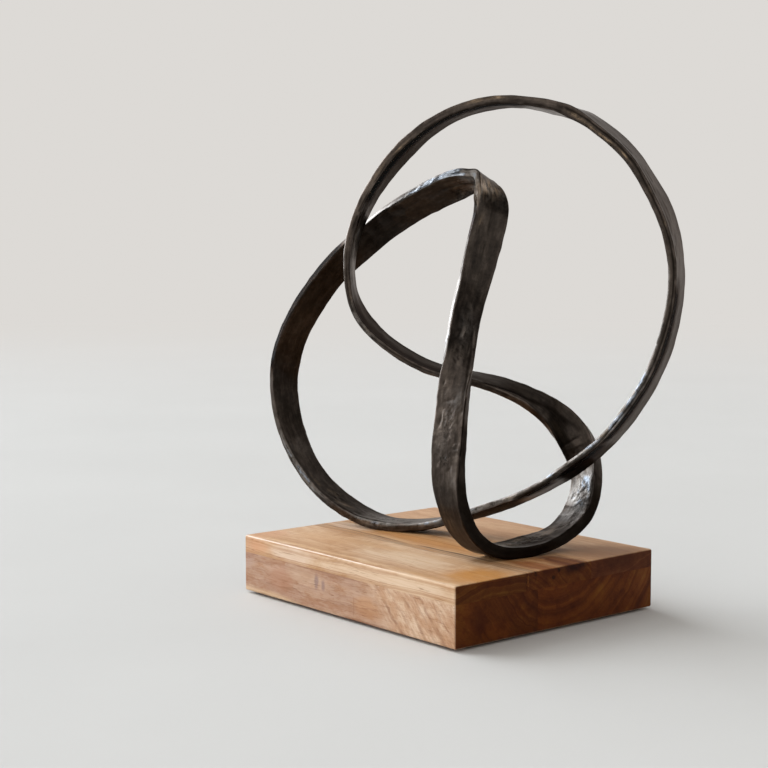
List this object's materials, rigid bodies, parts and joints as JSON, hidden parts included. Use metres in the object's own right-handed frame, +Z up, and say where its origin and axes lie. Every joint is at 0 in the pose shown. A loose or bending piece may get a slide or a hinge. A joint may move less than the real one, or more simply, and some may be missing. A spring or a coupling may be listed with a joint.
{
  "type": "sculpture",
  "caption": "Abstract sculpture: a closed loop of hammered dark metal bar, twisted and bent into ring, arch and knot, screwed down by its feet on a laminated hardwood block.",
  "frame": {"origin": "centre of the whole outline at the underside of the felt pads, on the surface the sculpture stands on", "axes": "+Z up; X along the block's long side and its grain; -Y is the block's long side nearest the camera's left"},
  "size_m": [0.3715, 0.23, 0.4385],
  "materials": {
    "blackened": "hand-hammered flat bar, dark waxed patina, satin, rubbed lighter on a few edges and weld dressings",
    "upper_wood": "satin oiled hardwood, fine straight grain, golden tan to orange",
    "lower_wood": "satin oiled hardwood, pinkish brown with a cream and brown flame figure at one end",
    "felt": "dark felt",
    "zinc": "zinc plated"
  },
  "bodies": {
    "root": {"bar_left_foot": "blackened", "bar_left_arch": "blackened", "bar_upright": "blackened", "bar_right_foot": "blackened", "bar_ring_left": "blackened", "bar_ring_right": "blackened", "board_upper_front": "upper_wood", "board_upper_middle": "upper_wood", "board_upper_rear": "upper_wood", "board_lower_front": "lower_wood", "board_lower_rear": "lower_wood", "screw_right": "zinc", "washer_right": "zinc", "screw_left": "zinc", "washer_left": "zinc", "pad_front_left": "felt", "pad_front_right": "felt", "pad_rear_left": "felt", "pad_rear_right": "felt"}
  },
  "joints": []
}
